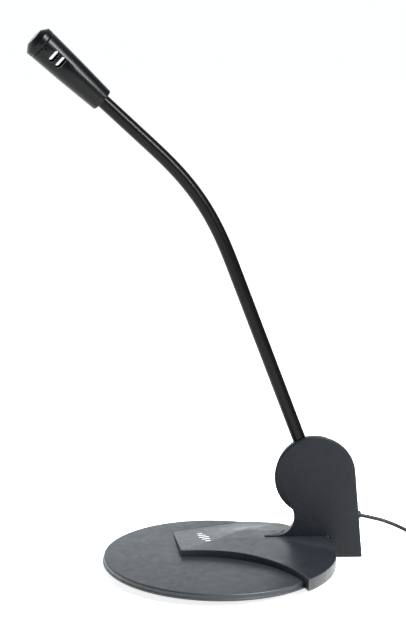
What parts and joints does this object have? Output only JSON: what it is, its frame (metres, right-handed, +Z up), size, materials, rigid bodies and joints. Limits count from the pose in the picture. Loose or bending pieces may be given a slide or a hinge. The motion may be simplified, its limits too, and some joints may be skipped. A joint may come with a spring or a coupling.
{
  "type": "desktop gooseneck microphone",
  "caption": "Desktop microphone with a round weighted base, an upright bracket, a flexible gooseneck, a slotted head and a thin lead with a mini plug.",
  "frame": {"origin": "under the middle of the microphone, on the table", "axes": "+Z up; +X along the bracket towards the lead; the head points towards -X; -Y is the front"},
  "size_m": [0.2617, 0.12, 0.2816],
  "materials": {
    "disc_plastic": "fine matte texture, dark blue grey",
    "bracket_plastic": "fine matte texture, charcoal",
    "pan_plastic": "plain matt black",
    "steel": "zinc plated",
    "rubber": "matt black",
    "neck_skin": "black plastic coated steel, satin",
    "head_plastic": "satin black",
    "capsule_metal": "satin",
    "lead_skin": "satin black",
    "plug_rubber": "matt black",
    "plug_plastic": "moulded black",
    "contact": "polished plating",
    "insulator": "black"
  },
  "bodies": {
    "base": {"ballast_plate": "steel", "base_disc": "disc_plastic", "base_pan": "pan_plastic", "bracket_far_shell": "bracket_plastic", "bracket_near_shell": "bracket_plastic", "bracket_screw_1": "steel", "bracket_screw_2": "steel", "bracket_screw_3": "steel", "bracket_screw_4": "steel", "coil_tie": "rubber", "foot_1": "rubber", "foot_2": "rubber", "foot_3": "rubber", "foot_4": "rubber", "foot_screw_1": "steel", "foot_screw_2": "steel", "inner_lead": "lead_skin", "lead_coil": "lead_skin", "lead_grommet": "rubber", "lead_run": "lead_skin", "lead_tail": "lead_skin", "neck_clamp_block": "pan_plastic", "neck_root": "neck_skin", "pan_screw_1": "steel", "pan_screw_2": "steel", "pan_screw_3": "steel", "plug_boot": "plug_rubber", "plug_handle": "plug_plastic", "plug_ring": "contact", "plug_ring_gap": "insulator", "plug_sleeve": "contact", "plug_tip": "contact", "plug_tip_gap": "insulator", "wing_cover": "disc_plastic", "wing_screw_1": "steel", "wing_screw_2": "steel"},
    "neck_01": {"neck_link_01": "neck_skin"},
    "neck_02": {"neck_link_02": "neck_skin"},
    "neck_03": {"neck_link_03": "neck_skin"},
    "neck_04": {"neck_link_04": "neck_skin"},
    "neck_05": {"neck_link_05": "neck_skin"},
    "neck_06": {"neck_link_06": "neck_skin"},
    "neck_07": {"neck_link_07": "neck_skin"},
    "neck_08": {"neck_link_08": "neck_skin"},
    "neck_09": {"neck_link_09": "neck_skin"},
    "neck_10": {"neck_link_10": "neck_skin"},
    "neck_11": {"neck_link_11": "neck_skin"},
    "head": {"neck_link_12": "neck_skin", "head_body": "head_plastic", "head_cap": "head_plastic", "mic_capsule": "capsule_metal", "capsule_holder": "rubber", "head_lead": "lead_skin"}
  },
  "joints": [
    {"name": "neck_low_bend", "type": "hinge", "parent": "base", "child": "neck_01", "pos_m": [0.05101, 0.0195, 0.07393], "axis": [0, -1, 0], "range_deg": [-10, 16]},
    {"name": "neck_sway", "type": "hinge", "parent": "neck_01", "child": "neck_02", "pos_m": [0.04471, 0.0195, 0.08976], "axis": [0.9291, 0, 0.3697], "range_deg": [-10, 10]},
    {"name": "neck_low_bend_2", "type": "hinge", "parent": "neck_02", "child": "neck_03", "pos_m": [0.03842, 0.0195, 0.10559], "axis": [0, -1, 0], "range_deg": [-10, 16]},
    {"name": "neck_sway_2", "type": "hinge", "parent": "neck_03", "child": "neck_04", "pos_m": [0.03212, 0.0195, 0.12141], "axis": [0.9291, 0, 0.3697], "range_deg": [-10, 10]},
    {"name": "neck_low_bend_3", "type": "hinge", "parent": "neck_04", "child": "neck_05", "pos_m": [0.02582, 0.0195, 0.13724], "axis": [0, -1, 0], "range_deg": [-10, 16]},
    {"name": "neck_sway_3", "type": "hinge", "parent": "neck_05", "child": "neck_06", "pos_m": [0.01952, 0.0195, 0.15306], "axis": [0.9274, 0, 0.3741], "range_deg": [-10, 10]},
    {"name": "neck_high_bend", "type": "hinge", "parent": "neck_06", "child": "neck_07", "pos_m": [0.01307, 0.01946, 0.16883], "axis": [0.0043, -0.9999, -0.0095], "range_deg": [-15, 15]},
    {"name": "neck_sway_4", "type": "hinge", "parent": "neck_07", "child": "neck_08", "pos_m": [0.00554, 0.01915, 0.18409], "axis": [0.8683, 0, 0.4961], "range_deg": [-10, 10]},
    {"name": "neck_high_bend_2", "type": "hinge", "parent": "neck_08", "child": "neck_09", "pos_m": [-0.00377, 0.01835, 0.19832], "axis": [0.0369, -0.9981, -0.0492], "range_deg": [-15, 15]},
    {"name": "neck_sway_5", "type": "hinge", "parent": "neck_09", "child": "neck_10", "pos_m": [-0.01482, 0.01706, 0.21121], "axis": [0.7279, 0, 0.6857], "range_deg": [-10, 10]},
    {"name": "neck_high_bend_3", "type": "hinge", "parent": "neck_10", "child": "neck_11", "pos_m": [-0.02701, 0.01538, 0.22298], "axis": [0.0739, -0.9949, -0.0694], "range_deg": [-15, 15]},
    {"name": "neck_high_bend_4", "type": "hinge", "parent": "neck_11", "child": "head", "pos_m": [-0.03952, 0.01361, 0.23441], "axis": [0.0772, -0.9945, -0.0705], "range_deg": [-15, 15]}
  ],
  "couplings": [
    {"joint": "neck_low_bend_2", "follows": "neck_low_bend", "ratio": 1},
    {"joint": "neck_sway_2", "follows": "neck_sway", "ratio": 1},
    {"joint": "neck_low_bend_3", "follows": "neck_low_bend", "ratio": 1},
    {"joint": "neck_sway_3", "follows": "neck_sway", "ratio": 1},
    {"joint": "neck_sway_4", "follows": "neck_sway", "ratio": 1},
    {"joint": "neck_high_bend_2", "follows": "neck_high_bend", "ratio": 1},
    {"joint": "neck_sway_5", "follows": "neck_sway", "ratio": 1},
    {"joint": "neck_high_bend_3", "follows": "neck_high_bend", "ratio": 1},
    {"joint": "neck_high_bend_4", "follows": "neck_high_bend", "ratio": 1}
  ]
}
